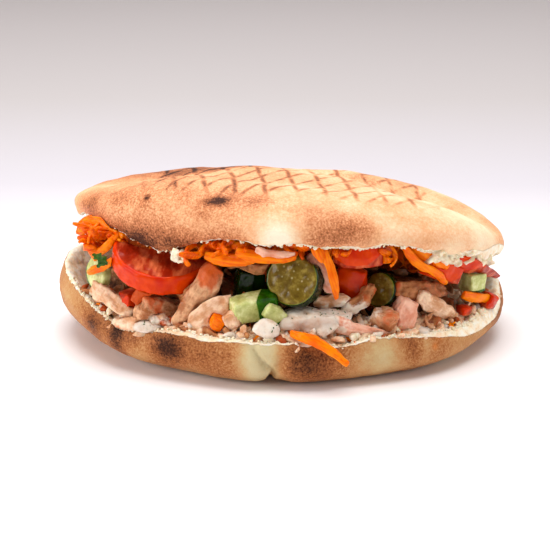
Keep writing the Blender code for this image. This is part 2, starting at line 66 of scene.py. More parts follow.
# The mouth, round the loaf in degrees and up in millimetres, the distances from the middle between
# which it is looked into, and how deep a piece may be pressed into the bread.
MOUTH_DEGREES = (100, 352)
MOUTH_HEIGHTS = (14, 62)
OUTSIDE, NEAR_MIDDLE = 0.16, 0.035
PRESSED_IN = 0.4 * MM


# ---- numbers
def value_noise(points, size, seed):
    """Smooth noise from -1 to 1 at each point, with lumps of a size in millimetres."""
    place = points / (size * MM) + 13.7 * seed
    cell = np.floor(place).astype(np.int64)
    part = place - cell
    part = part * part * (3 - 2 * part)
    total = np.zeros(len(points))
    for corner in itertools.product((0, 1), repeat=3):
        at = cell + corner
        # Large primes and shifts turn each corner's place into its own random number.
        mixed = at[:, 0] * 73856093 ^ at[:, 1] * 19349663 ^ at[:, 2] * 83492791 ^ (seed * 2654435761)
        mixed = (mixed ^ (mixed >> 13)) * 1274126177
        mixed = (mixed ^ (mixed >> 16)) & 0xFFFFFFFF
        weight = np.prod(np.where(corner, part, 1 - part), axis=1)
        total += weight * (mixed / 2.0**31 - 1)
    return total


def layered(points, size, seed):
    """Noise with finer noise on it, from about -1 to 1."""
    total, share = 0.0, 1.0
    for layer in range(3):
        total = total + share * value_noise(points, size / 2**layer, seed + layer)
        share *= 0.5
    return total / 1.6


def smoothstep(low, high, values):
    """A soft step from 0 at low to 1 at high."""
    share = np.clip((values - low) / (high - low), 0, 1)
    return share * share * (3 - 2 * share)


def bump_at(angle, middle, spread):
    """A soft bump round the loaf: angles in radians, its middle and spread in degrees."""
    away = (angle - math.radians(middle) + math.pi) % (2 * math.pi) - math.pi
    return np.exp(-((away / math.radians(spread)) ** 2))


def spots(points, table):
    """Sum of soft spots: each is a middle and a reach in millimetres along X, Y and Z, and a strength."""
    total = np.zeros(len(points))
    for middle, reach, strength in table:
        away = (points / MM - middle) / reach
        total += strength * np.exp(-(away**2).sum(1))
    return total


def outward_at(degrees):
    """The level direction at an angle round the loaf."""
    angle = math.radians(degrees)
    return np.array([math.cos(angle), math.sin(angle), 0.0])


# ---- meshes
def made_object(name, data):
    obj = bpy.data.objects.new(name, data)
    bpy.context.scene.collection.objects.link(obj)
    return obj


def points_of(mesh):
    co = np.empty(len(mesh.vertices) * 3)
    mesh.vertices.foreach_get("co", co)
    return co.reshape(-1, 3)


def normals_of(mesh):
    normals = np.empty(len(mesh.vertices) * 3)
    mesh.vertex_normals.foreach_get("vector", normals)
    return normals.reshape(-1, 3)


def move_points(mesh, points):
    mesh.vertices.foreach_set("co", np.asarray(points, np.float32).ravel())
    mesh.update()


def store(mesh, name, values):
    """Keeps one number, or one vector, for each point."""
    values = np.asarray(values, np.float32)
    kind, field = ("FLOAT_VECTOR", "vector") if values.ndim == 2 else ("FLOAT", "value")
    mesh.attributes.new(name, kind, "POINT").data.foreach_set(field, values.ravel())


def welded(node):
    """A copy of a CAD node's mesh with its doubled points joined."""
    bm = bmesh.new()
    bm.from_mesh(NODES[node].data)
    bmesh.ops.remove_doubles(bm, verts=bm.verts, dist=1e-6)
    mesh = bpy.data.meshes.new(node + "_shape")
    bm.to_mesh(mesh)
    bm.free()
    return mesh


def dense(name, node, voxel, smooth):
    """A fine, smooth copy of a CAD node's shape."""
    obj = made_object(name, welded(node))
    remesh = obj.modifiers.new("remesh", "REMESH")
    remesh.mode = "VOXEL"
    remesh.voxel_size = voxel
    relax = obj.modifiers.new("relax", "SMOOTH")
    relax.iterations = smooth
    graph = bpy.context.evaluated_depsgraph_get()
    mesh = bpy.data.meshes.new_from_object(obj.evaluated_get(graph))
    obj.modifiers.clear()
    mesh.name = name
    mesh.shade_smooth()
    obj.data = mesh
    return obj


def finished(obj, finish, slot, *replaced):
    """Gives a piece one of the finishes by name, and hides the CAD parts it replaces; its slot is not
    used.
    """
    obj.data.materials.append(FINISHES[finish])
    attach(obj, "root")
    if replaced:
        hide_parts(*replaced)
    return obj


# ---- materials
def linear(colour):
    """The linear colour, with alpha, of an sRGB colour from 0 to 255."""
    shares = [c / 255 for c in colour]
    return [s / 12.92 if s <= 0.04045 else ((s + 0.055) / 1.055) ** 2.4 for s in shares] + [1.0]


class Paint:
    """A procedural material, with short calls for its nodes."""

    def __init__(self, name, **constants):
        self.material = bpy.data.materials.new(name)
        self.material.use_nodes = True
        self.tree = self.material.node_tree
        self.shader = self.tree.nodes["Principled BSDF"]
        for key, value in constants.items():
            self.plug(value, self.shader.inputs[key.replace("_", " ")])
        self.place = self.node("TexCoord", {}, "Object")

    def plug(self, value, socket):
        """Links another node's output, or sets a fixed number, vector or colour."""
        if isinstance(value, bpy.types.NodeSocket):
            self.tree.links.new(value, socket)
        else:
            socket.default_value = linear(value) if socket.type == "RGBA" else value

    def node(self, kind, inputs, output=0, **settings):
        """An output of a new node, with its inputs by name or number."""
        made = self.tree.nodes.new("ShaderNode" + kind)
        for key, value in settings.items():
            setattr(made, key, value)
        for key, value in inputs.items():
            self.plug(value, made.inputs[key])
        return made.outputs[output]

    def attribute(self, name, output="Fac"):
        return self.node("Attribute", {}, output, attribute_name=name)

    def noise(self, size, detail=2.0, roughness=0.5, place=None):
        """Noise from 0 to 1 with lumps of a size in metres."""
        inputs = {"Vector": place or self.place, "Scale": 1 / size}
        inputs.update(Detail=detail, Roughness=roughness)
        return self.node("TexNoise", inputs, "Fac")

    def math(self, operation, *values):
        return self.node("Math", dict(enumerate(values)), operation=operation)

    def times(self, one, other):
        return self.math("MULTIPLY", one, other)

    def total(self, *values):
        result = values[0]
        for value in values[1:]:
            result = self.math("ADD", result, value)
        return result

    def swing(self, value, amount):
        """A value from 0 to 1, made to run from half an amount below 0 to half above."""
        return self.times(self.math("SUBTRACT", value, 0.5), amount)

    def shared(self, one, share, other):
        """A mean of two values, with the first one's share."""
        return self.total(self.times(one, share), self.times(other, 1 - share))

    def along(self, direction):
        """How far along a direction each point is."""
        return self.node("VectorMath", {0: self.place, 1: direction}, "Value", operation="DOT_PRODUCT")

    def grain(self, *stretch):
        """Places in a piece's own axes, scaled along each."""
        inputs = {0: self.attribute("grain", "Vector"), 1: stretch}
        return self.node("VectorMath", inputs, "Vector", operation="MULTIPLY")

    def scaled(self, value, low, high, to_low=0.0, to_high=1.0):
        """A soft step from one number at low to another at high."""
        inputs = dict(enumerate((value, low, high, to_low, to_high)))
        return self.node("MapRange", inputs, interpolation_type="SMOOTHSTEP")

    def ramp(self, value, *stops):
        """A colour for each value, from stops given as a value and a colour."""
        output = self.node("ValToRGB", {0: value})
        elements = output.node.color_ramp.elements
        while len(elements) < len(stops):
            elements.new(0.5)
        for element, (at, colour) in zip(elements, stops):
            element.position = at
            element.color = linear(colour)
        return output

    def mix(self, share, one, other, how="MIX"):
        inputs = {0: share, 6: one, 7: other}
        return self.node("Mix", inputs, 2, data_type="RGBA", blend_type=how)

    def relief(self, *layers):
        """Bumps in the surface: each layer is a height from 0 to 1 and its real height in metres."""
        height = self.total(*(self.times(height, tall) for height, tall in layers))
        bump = self.node("Bump", {"Strength": 1.0, "Distance": 1.0, "Height": height})
        self.plug(bump, self.shader.inputs["Normal"])

    def done(self, colour, roughness=None):
        """Puts the colour and roughness on the shader and gives the material."""
        self.plug(colour, self.shader.inputs["Base Color"])
        if roughness is not None:
            self.plug(roughness, self.shader.inputs["Roughness"])
        return self.material


# How the crust looks as it is toasted: how far, and its colour.
TOASTING = (
    (0.0, (252, 240, 214)), (0.22, (248, 219, 182)), (0.44, (236, 176, 130)), (0.62, (206, 132, 88)),
    (0.82, (156, 92, 58)), (1.0, (70, 38, 26)),
)


def bread_finish():
    """Toasted crust with pale, browned and burnt parts and grill marks, torn crumb, and painted shade
    over the whole base.
    """
    p = Paint(
        "bread_crust_and_crumb", Roughness=0.62, Subsurface_Weight=0.06, Subsurface_Scale=0.004,
        Subsurface_Radius=(1.0, 0.55, 0.3), Specular_IOR_Level=0.10,
    )
    grain = p.noise(0.0008, 2.0, 0.6)
    pores = p.noise(0.0021, 3.0, 0.55)
    cloud = p.noise(0.016, 3.0, 0.6)
    toast = p.total(p.attribute("toast"), p.swing(grain, p.attribute("speckle")), p.swing(pores, 0.22))
    toast = p.total(toast, p.swing(cloud, 0.30), grill_marks(p))
    crust = p.ramp(toast, *TOASTING)
    # Painted shade: the whole base is darkened by a multiply, because it gets less light than the lid.
    crust = p.mix(p.attribute("painted_base_shade"), crust, p.mix(1.0, crust, (208, 203, 178), "MULTIPLY"))
    open_crumb = p.noise(0.0030, 4.0, 0.6)
    crumb = p.ramp(open_crumb, (0.28, (236, 204, 162)), (0.44, (252, 236, 206)), (0.62, (255, 250, 236)))
    crumb = p.mix(p.times(p.attribute("stain"), 0.8), crumb, (226, 148, 62))
    crumb_here = p.scaled(p.total(p.attribute("crumb"), p.swing(pores, 0.5)), 0.38, 0.62)
    colour = p.mix(crumb_here, crust, crumb)
    colour = p.mix(p.times(p.attribute("smear"), 0.9), colour, (232, 116, 22))
    p.relief((grain, 0.00016), (pores, 0.00036), (p.times(open_crumb, crumb_here), 0.0009))
    return p.done(colour, p.scaled(toast, 0.2, 0.9, 0.62, 0.50))


# Two families of grill bars: the direction across them, spacing and offset in millimetres, width as
# a share of the spacing, how dark they are, and the size of their breaks in metres.
GRILL_BARS = (
    ((0.995, 0.0995, 0.0), 12.4, 2.5, 0.135, 0.38, 0.011),
    ((0.866, -0.5, 0.0), 8.3, 6.5, 0.160, 0.32, 0.008),
)


def grill_marks(p):
    """Browning by the bars that pressed on the top of the lid."""
    warp = p.noise(0.020, 1.0)
    lines = []
    for across, spacing, offset, width, strength, break_size in GRILL_BARS:
        turns = p.times(p.math("SUBTRACT", p.along(across), offset * MM), 1 / (spacing * MM))
        turns = p.total(turns, p.times(warp, 0.25), 0.5)
        off = p.math("ABSOLUTE", p.math("SUBTRACT", p.math("FRACT", turns), 0.5))
        line = p.scaled(off, width * 0.08, width, 1.0, 0.0)
        broken = p.scaled(p.noise(break_size, 2.0), 0.40, 0.56, 0.25, 1.0)
        lines.append(p.times(p.times(line, broken), strength))
    return p.times(p.math("MAXIMUM", *lines), p.attribute("grilled"))


# Spots on the bread, each a middle and reach in millimetres and a strength: browned or paler ones,
# smears of red sauce, and stains of juice on the crumb.
TOAST_SPOTS = (
    ((-66, -43, 56), (16, 18, 7), 0.40),
    ((-44, -60, 57), (10, 12, 7), 0.36),
    ((-58, -52, 53), (9, 10, 7), 0.26),
    ((-83, -20, 64), (9, 12, 7), 0.22),
    ((-60, -40, 73), (12, 14, 4), 0.12),
    ((-68, -12, 72), (8, 1.6, 5), 0.26),
    ((-68, -31, 72), (7, 2.0, 5), 0.20),
    ((-25, -66, 59), (14, 10, 6), 0.22),
    ((27, -68, 65), (12, 10, 6), 0.33),
    ((14, -71, 61), (6, 8, 5), 0.12),
    ((-2, -71, 63), (8.0, 9, 7), -0.62),
    ((50, -60, 60), (8, 10, 8), -0.12),
    ((85, -30, 52), (22, 24, 12), -0.22),
    ((66, -20, 64), (26, 40, 8), -0.10),
    ((62, -50, 58), (14, 12, 8), 0.08),
    ((-27, -58, 75), (5.5, 2.6, 2.5), 0.55),
    ((-56, -46, 74), (1.1, 1.2, 1.5), 0.75),
    ((-33, -62, 70), (6, 4, 2.5), 0.16),
    ((-9, -60, 75), (6, 3, 2.5), 0.28),
    ((-72, -36, 71), (9, 6, 3), 0.14),
    ((-31, 20, 74), (3, 12, 6), 0.30),
    ((-25, 30, 71), (10, 4, 6), 0.42),
    ((-69, -50, 15), (4.5, 6, 9), 0.46),
    ((-62, -57, 17), (3, 5, 5), 0.22),
    ((-47, -66, 15), (7.5, 9, 7.5), 0.62),
    ((-80, -40, 17), (6, 6, 6), 0.28),
    ((-92, -22, 24), (10, 12, 10), -0.14),
    ((-28, -74, 13), (15, 8, 12), 0.20),
    ((-9, -78, 14), (7.5, 9, 16), -0.80),
    ((12, -80, 12), (12, 9, 9), 0.24),
    ((27, -77, 18), (8, 8, 6), 0.05),
    ((42, -70, 12), (9, 9, 12), -0.34),
    ((55, -64, 13), (5, 7, 8), 0.12),
    ((60, -60, 14), (2.4, 5, 9), -0.16),
    ((68, -55, 12), (5, 7, 8), -0.04),
    ((84, -36, 12), (14, 12, 10), -0.18),
    ((95, -18, 18), (4, 8, 6), 0.18),
)
SMEARS = (
    ((66, -58, 18), (1.6, 3, 2.4), 1.0),
    ((64, -60, 13), (1.3, 3, 1.6), 0.8),
    ((54, -61, 22), (2.2, 3, 2.0), 0.5),
    ((81, -38, 21), (4.5, 4, 2.5), 0.9),
    ((74, -44, 22), (3.0, 3, 2.0), 0.5),
    ((59, -57, 24), (3.5, 3, 2.0), 0.6),
    ((-58, -57, 19), (6.0, 3, 2.0), 0.45),
)
STAINS = (
    ((-40, -62, 22), (16, 7, 3), 0.75),
    ((-64, -48, 20), (9, 9, 4), 0.55),
    ((-20, -66, 22), (12, 5, 3), 0.35),
    ((55, -55, 22), (20, 8, 5), 0.25),
    ((90, -14, 24), (8, 16, 6), 0.45),
    ((82, -26, 44), (14, 10, 5), 0.22),
)


def cut_middle(points):
    """Height halfway between the base's rim and the lid's, over each point."""
    angle = np.arctan2(points[:, 1], points[:, 0])
    toward = points[:, 0] * math.cos(HINGE_AT) + points[:, 1] * math.sin(HINGE_AT)
    base = 0.027 - 0.005 * np.cos(angle) + 0.004 * np.sin(angle)
    lid = HINGE_HEIGHT + (HINGE_REACH - toward) * math.sin(OPENING)
    return (base + lid) / 2


def edge_height(points, chosen, highest):
    """For each point, how high the rim of the chosen points is at its angle round the loaf."""
    sectors = 120
    angle = np.arctan2(points[:, 1], points[:, 0])
    slot = ((angle + math.pi) / (2 * math.pi) * sectors).astype(int) % sectors
    heights = np.full(sectors, -1.0 if highest else 1.0)
    pick = np.maximum if highest else np.minimum
    pick.at(heights, slot[chosen], points[chosen, 2])
    centre = (np.arange(sectors) + 0.5) / sectors * 2 * math.pi - math.pi
    return np.interp(angle, centre, heights, period=2 * math.pi)


# Creases where the dough of the base is pinched: ends as X and Z in millimetres, and depth.
CREASES = (
    ((-5, 1), (-4, 7), 3.0),
    ((-4, 7), (-8, 12), 2.8),
    ((-8, 12), (-12, 18), 2.1),
    ((-12, 18), (-19, 21), 1.4),
    ((-12, 18), (-9, 24), 1.2),
    ((-4, 7), (0, 13), 1.3),
)


def creases(points):
    """How deep the folds at the front of the base are at each point, in millimetres."""
    flat = points[:, [0, 2]] / MM
    flat = flat + 0.8 * np.stack([value_noise(points, 5, 51), value_noise(points, 5, 53)], 1)
    total = np.zeros(len(points))
    for start, end, depth in CREASES:
        start, run = np.array(start, float), np.array(end, float) - start
        share = np.clip(((flat - start) @ run) / (run @ run), 0, 1)
        away = np.linalg.norm(flat - start - share[:, None] * run, axis=1)
        total = np.maximum(total, depth * np.exp(-((away / 1.3) ** 2)))
    at_front = points[:, 1] < -0.06
    return total * at_front


def browning(points, lid):
    """How browned the crust is at each point: about 0 is pale and 1 burnt."""
    x, z = points[:, 0] / MM, points[:, 2] / MM
    side = np.exp(-(((z - np.where(lid, 58, 14)) / 13) ** 2))
    toast = np.where(lid, 0.42, 0.47) + 0.10 * side * ~lid
    toast = toast + lid * 0.10 * smoothstep(40, -50, x)
    toast = toast + 0.14 * layered(points, 30, 31) + 0.10 * layered(points, 9, 35)
    behind = smoothstep(-0.01, 0.05, points[:, 1])
    patches = value_noise(points * (1, 1, 0.5), 26, 41)
    toast = toast + behind * side * (0.30 * np.clip(patches, 0, 1) - 0.25 * np.clip(-patches, 0, 1))
    toast = toast + spots(points, TOAST_SPOTS)
    return toast - 0.10 * np.exp(-((z / 2.5) ** 2)) * (points[:, 2] > 1e-5)


def grilled_area(points, normals, lid):
    """Where the grill bars pressed: the flat top of the lid, away from its ends."""
    x, y = points[:, 0] / MM, points[:, 1] / MM
    top = lid * smoothstep(0.86, 0.97, normals[:, 2])
    front_end = y - 0.25 * np.maximum(x, 0)
    grilled = top * smoothstep(-62, -50, front_end) * smoothstep(-64, -50, x)
    return grilled * smoothstep(72, 58, x) * smoothstep(74, 60, y)


def make_bread():
    """The loaf: torn crumb inside and along its rims, and a browned, slightly lumpy crust."""
    obj = dense("bread_loaf", "bread", BREAD_VOXEL, 4)
    mesh = obj.data
    points, normals = points_of(mesh), normals_of(mesh)
    angle = np.arctan2(points[:, 1], points[:, 0])
    lid = points[:, 2] > cut_middle(points)
    outward = points[:, :2] / (HALF_LENGTH**2, HALF_DEPTH**2)
    outward /= np.linalg.norm(outward, axis=1)[:, None]
    radial = (normals[:, :2] * outward).sum(1)
    facing = 0.8 * radial + np.where(lid, 0.6, -0.6) * normals[:, 2]
    inside = smoothstep(0.12, -0.12, facing)
    rim = edge_height(points, ~lid & (radial > 0.2), True)
    lip = edge_height(points, lid & (radial > 0.2), False)
    below = (rim - points[:, 2]) / MM
    above = (points[:, 2] - lip) / MM
    # How many millimetres of bare crumb show past each rim.
    bare_base = 0.1 + 4.8 * bump_at(angle, -18, 20) + 1.2 * bump_at(angle, -118, 14)
    bare_lid = 0.2 - 1.1 * bump_at(angle, -138, 30) + 6.0 * bump_at(angle, -10, 14)
    bare_lid = bare_lid + 0.8 * bump_at(angle, -45, 14)
    bare = np.where(lid, bare_lid - above, bare_base - below)
    crumb = np.clip(np.maximum(inside, smoothstep(-0.9, 0.9, bare)), 0, 1)
    hinge = bump_at(angle, HINGE_DEGREES, 40)
    crumb = np.where((radial > 0.1) & (hinge > 0.35), 0.0, crumb)

    # The shape, in millimetres: ragged rims, lumps in the crust and the crumb, and the creases.
    near_rim = np.exp(-((np.where(lid, above, below) / 3.0) ** 2)) * (1 - np.clip(hinge * 1.6, 0, 1))
    ragged = 0.9 * layered(points, 5.5, 3) + 0.55 * value_noise(points, 1.9, 8)
    shift = np.zeros_like(points)
    torn = 1 + 1.2 * lid * bump_at(angle, -14, 18)
    shift[:, 2] = near_rim * ragged * torn * np.where(lid, 1.0, 0.8)
    crust_bumps = 0.45 * layered(points, 22, 11) + 0.16 * layered(points, 5, 15)
    crumb_bumps = 0.8 * layered(points, 6.0, 21) + 0.22 * value_noise(points, 2.4, 25)
    standing = smoothstep(0.4, 2.0, points[:, 2] / MM)
    shift += normals * ((1 - crumb) * crust_bumps * standing + crumb * crumb_bumps)[:, None]
    shift -= normals * (creases(points) * ~lid * (1 - crumb))[:, None]
    points = points + shift * MM
    points[:, 2] = np.maximum(points[:, 2], 0.0)
    move_points(mesh, points)

    # What the material reads at each point.
    toast = browning(points, lid)
    store(mesh, "toast", np.clip(toast, 0, 1))
    store(mesh, "crumb", crumb)
    # Painted shade: 1 on the base, 0 on the lid.
    store(mesh, "painted_base_shade", np.where(lid, 0.0, 1.0))
    speckle = 0.26 + 0.60 * smoothstep(0.35, 0.65, toast) - 0.35 * smoothstep(0.80, 1.0, toast)
    store(mesh, "speckle", speckle)
    smear = np.clip(spots(points, SMEARS), 0, 1) * (0.6 + 0.6 * layered(points, 2.4, 45))
    store(mesh, "smear", smear)
    store(mesh, "stain", np.clip(spots(points, STAINS) + 0.12 * layered(points, 12, 47), 0, 1))
    store(mesh, "grilled", grilled_area(points, normals, lid))
    return finished(obj, "bread_crust_and_crumb", "bread", "bread")


# ---- filling: materials
def flesh_paint(name, roughness, radius, weight=0.18, wet=0.12):
    """A moist food, a little translucent."""
    return Paint(
        name, Roughness=roughness, Subsurface_Weight=weight, Subsurface_Radius=radius,
        Subsurface_Scale=0.0025, Specular_IOR_Level=0.08, Coat_Weight=wet, Coat_Roughness=0.12,
    )


def painted_mouth_shade(p, colour, light):
    """The darker colour, painted shade, at the front of the mouth, and a lighter one behind it."""
    return p.mix(p.scaled(p.along((0, 1, 0)), -0.048, -0.022, 0.0, 0.8), colour, light)


def chicken_finish(name, pale, mid, spice, amount, behind=None):
    """Cooked meat with fibres along its length and a marinade on part of it."""
    p = flesh_paint(name, 0.42, (1.0, 0.45, 0.25))
    fibre = p.noise(0.0018, 3.0, 0.6, p.grain(0.16, 1.0, 1.0))
    cloud = p.noise(0.0060, 3.0, 0.6)
    colour = p.mix(p.scaled(p.shared(fibre, 0.3, cloud), 0.38, 0.60), mid, pale)
    where = p.total(p.noise(0.0060, 2.0, 0.6), p.attribute("spiced"))
    spiced = p.scaled(where, 1.0 - amount, 1.22 - amount)
    colour = p.mix(p.times(spiced, 0.85), colour, spice)
    # Painted shade: with a colour behind, the colours above are kept only at the front of the mouth.
    if behind:
        colour = painted_mouth_shade(p, colour, p.mix(p.scaled(cloud, 0.35, 0.65), behind, pale))
    creamy = p.total(p.attribute("sauced"), p.math("SUBTRACT", p.noise(0.0045, 3.0, 0.6), 0.5))
    colour = p.mix(p.scaled(creamy, 0.40, 0.62, 0.0, 0.9), colour, (250, 238, 222))
    p.relief((fibre, 0.0004), (cloud, 0.0012))
    return p.done(colour, p.scaled(cloud, 0.3, 0.7, 0.24, 0.46))


def carrot_finish(name, light, deep):
    """Raw carrot with faint fibres along it."""
    p = flesh_paint(name, 0.34, (1.0, 0.4, 0.1), 0.22)
    fibre = p.noise(0.0009, 2.0, 0.5, p.grain(0.10, 1.0, 1.0))
    share = p.shared(fibre, 0.5, p.noise(0.007, 2.0))
    p.relief((fibre, 0.00016))
    return p.done(p.mix(p.scaled(share, 0.38, 0.62), deep, light), p.scaled(fibre, 0.3, 0.7, 0.26, 0.42))


def tomato_finish():
    """Ripe flesh with pale streaks, and glossy skin where the skin mask says."""
    p = flesh_paint("tomato_flesh_and_skin", 0.24, (1.0, 0.30, 0.15), 0.25)
    streak = p.noise(0.0032, 3.0, 0.55, p.grain(1.0, 0.35, 1.0))
    flesh = p.ramp(streak, (0.28, (140, 22, 0)), (0.48, (170, 40, 8)), (0.72, (224, 112, 66)))
    skin = p.ramp(p.noise(0.006, 2.0), (0.3, (200, 36, 0)), (0.7, (226, 70, 0)))
    p.relief((streak, 0.0005))
    skinned = p.scaled(p.attribute("skin"), 0.35, 0.65)
    return p.done(p.mix(skinned, flesh, skin), p.scaled(skinned, 0.0, 1.0, 0.30, 0.16))


def cucumber_finish(name, deep, mid, light, peel_dark, peel_light):
    """Pale flesh, greener towards the dark peel, with fine seeds near its middle."""
    p = flesh_paint(name, 0.26, (0.6, 0.9, 0.3), 0.25, 0.35)
    peel = p.attribute("skin")
    cloud = p.noise(0.0035, 3.0, 0.6)
    flesh = p.ramp(cloud, (0.30, deep), (0.52, mid), (0.72, light))
    seeds = p.node("TexVoronoi", {"Vector": p.place, "Scale": 1 / 0.0026}, "Distance")
    seeds = p.scaled(seeds, 0.10, 0.24, 0.35, 0.0)
    flesh = p.mix(p.times(seeds, p.attribute("seeded")), flesh, (228, 218, 160))
    rind = p.ramp(p.noise(0.0028, 2.0), (0.3, peel_dark), (0.7, peel_light))
    flesh = p.mix(p.scaled(peel, 0.15, 0.55, 0.0, 0.6), flesh, (98, 140, 34))
    p.relief((cloud, 0.00035))
    return p.done(p.mix(p.scaled(peel, 0.50, 0.62), flesh, rind), p.scaled(cloud, 0.3, 0.7, 0.16, 0.34))


def sauce_finish():
    """Thick yoghurt sauce with a little red oil in it."""
    p = flesh_paint("white_sauce", 0.22, (1.0, 0.8, 0.6), 0.30, 0.4)
    cloud = p.noise(0.004, 3.0, 0.6)
    colour = p.ramp(cloud, (0.25, (212, 174, 142)), (0.42, (226, 208, 190)), (0.62, (230, 220, 208)))
    p.relief((cloud, 0.0012))
    return p.done(colour)


def green_finish():
    """Parsley and dill."""
    p = flesh_paint("herb_leaf", 0.4, (0.4, 1.0, 0.2), 0.15)
    return p.done(p.ramp(p.noise(0.001, 2.0), (0.3, (26, 58, 16)), (0.7, (66, 108, 36))))


def core_finish(name, dark, light, behind):
    """The filling deep inside, between the pieces that show: near black as painted shade at the front of
    the mouth, lighter behind it.
    """
    p = flesh_paint(name, 0.5, (1.0, 0.4, 0.2), 0.1)
    cloud = p.noise(0.005, 4.0, 0.65)
    p.relief((cloud, 0.0025))
    share = p.scaled(cloud, 0.35, 0.65)
    return p.done(painted_mouth_shade(p, p.mix(share, dark, light), p.mix(share, light, behind)))


def crumb_finish():
    """Torn bits of crumb."""
    p = Paint("loose_crumb", Roughness=0.75, Subsurface_Weight=0.15, Subsurface_Scale=0.003)
    cloud = p.noise(0.0016, 3.0, 0.6)
    p.relief((cloud, 0.0010))
    return p.done(p.ramp(cloud, (0.3, (240, 208, 160)), (0.6, (255, 244, 222))))


# Kinds of chicken: pale, darker and marinade colours, how much is marinated, and how light a kind is
# behind the front of the mouth, where the flakes' darker colours in front of it are painted shade.
CHICKEN_LOOKS = {
    "pale": ((228, 178, 136), (168, 104, 64), (204, 80, 10), 0.46),
    "white": ((248, 214, 182), (210, 150, 106), (218, 96, 20), 0.32),
    "pink": ((244, 192, 166), (222, 146, 116), (212, 92, 44), 0.22),
    "roast": ((206, 142, 92), (138, 74, 38), (184, 64, 6), 0.50),
    "spiced": ((206, 118, 58), (166, 78, 26), (192, 64, 2), 0.62),
    # The flakes' first three colours are darkened as painted shade; the last is their colour behind the
    # mouth's front.
    "flakes": ((150, 96, 58), (90, 48, 24), (140, 48, 4), 0.50, (206, 150, 104)),
}


def make_finishes():
    """Every finish, by its name."""
    made = [chicken_finish("chicken_" + look, *values) for look, values in CHICKEN_LOOKS.items()]
    made += [
        bread_finish(),
        carrot_finish("carrot_flesh", (255, 140, 0), (240, 98, 0)),
        carrot_finish("grated_carrot", (248, 122, 0), (216, 74, 0)),
        cucumber_finish(
            "cucumber_fresh", (168, 172, 92), (200, 204, 132), (226, 228, 174), (14, 56, 0), (44, 104, 4),
        ),
        # The second cucumber finish has darker, olive flesh and near-black rind: painted shade for pieces
        # lying in the lid's shade.
        cucumber_finish(
            "cucumber_shaded", (84, 62, 10), (118, 96, 28), (166, 146, 64), (6, 22, 0), (22, 48, 4),
        ),
        tomato_finish(),
        sauce_finish(),
        green_finish(),
        crumb_finish(),
        # Cores: their dark colours are painted shade for the gaps in the mouth; the last colour is theirs
        # behind it.
        core_finish("meat_core_painted_shade", (22, 8, 3), (80, 40, 18), (176, 118, 74)),
        core_finish("salad_core_painted_shade", (46, 12, 3), (120, 42, 8), (196, 84, 14)),
    ]
    return {finish.name: finish for finish in made}


FINISHES = make_finishes()


# ---- filling: the pieces that show
def food(node, lumps, warp, lump_size=4.0, voxel=0.5, smooth=3, fibres=0.0, torn=0.0, grow=0.12):
    """A fine copy of one CAD piece with the surface of real food, in millimetres."""
    obj = dense(node + "_food", node, voxel * MM, smooth)
    mesh = obj.data
    points = points_of(mesh)
    bend = np.stack([layered(points, 7, 70 + axis) for axis in range(3)], 1)
    move_points(mesh, points + warp * bend * MM)
    points = points_of(mesh)
    normals = normals_of(mesh)
    # Its own axes: along its length, then across, then through.
    centred = points - points.mean(0)
    own = centred @ np.linalg.svd(centred, full_matrices=False)[2].T
    length = np.abs(own[:, 0]).max()
    ends = smoothstep(0.60, 1.0, np.abs(own[:, 0]) / length)
    seed = sum(map(ord, node)) % 97
    lift = grow + lumps * layered(points, lump_size, seed)
    if fibres:
        lift = lift + fibres * layered(own * (0.15, 1.0, 1.0), 1.8, seed + 5)
    if torn:
        lift = lift + torn * ends * layered(own * (0.4, 1.0, 1.0), 2.4, seed + 9)
    move_points(mesh, points + normals * lift[:, None] * MM)
    store(mesh, "grain", own)
    return obj


# Where white sauce lies thinly on the meat.
SAUCED = (
    ((-52, -60, 24), (12, 8, 6), 0.5),
    ((14, -66, 27), (24, 12, 9), 0.62),
    ((34, -58, 28), (16, 10, 8), 0.35),
    ((62, -44, 28), (16, 12, 8), 0.30),
)
# What each chicken piece looks like.
CHICKEN = {
    "strip_big": "pale", "chunk_left": "pale", "flap_left": "spiced", "shred_left": "white",
    "rim_left": "white", "flake_left": "roast", "curl": "white", "dice": "white",
    "flake_middle": "roast", "slice_pink": "pink", "cube_right": "pale", "shred_middle": "roast",
    "shred_low": "white", "upper_flake": "pink", "upper_middle": "pink", "upper_strip": "roast",
    "strip_right": "white", "chunk_right": "pink", "flake_right": "roast",
}
THIN_PIECES = ("slice_pink", "curl", "flake_left", "upper_flake")
THIN_MEAT = dict(lumps=0.25, warp=0.9, voxel=0.40, fibres=0.14, torn=0.6)
THICK_MEAT = dict(lumps=0.50, warp=1.7, voxel=0.46, fibres=0.26, torn=1.2)


def make_chicken():
    for piece, look in CHICKEN.items():
        node = "chicken_" + piece
        obj = food(node, **(THIN_MEAT if piece in THIN_PIECES else THICK_MEAT))
        points = points_of(obj.data)
        spiced = 0.25 * value_noise(points, 9, 3)
        if piece == "strip_big":
            spiced = spiced + 0.55 * smoothstep(38, 50, points[:, 2] / MM) - 0.1
        store(obj.data, "spiced", spiced)
        store(obj.data, "sauced", spots(points, SAUCED))
        slot = "pale_chicken" if look in ("white", "pink") else "chicken"
        finished(obj, "chicken_" + look, slot, node)


def make_carrots():
    for node in sorted(NODES):
        if node.startswith("carrot_"):
            obj = food(node, 0.22, 0.5, 3.0, voxel=0.38, smooth=2, fibres=0.08)
            finished(obj, "carrot_flesh", "carrot", node)


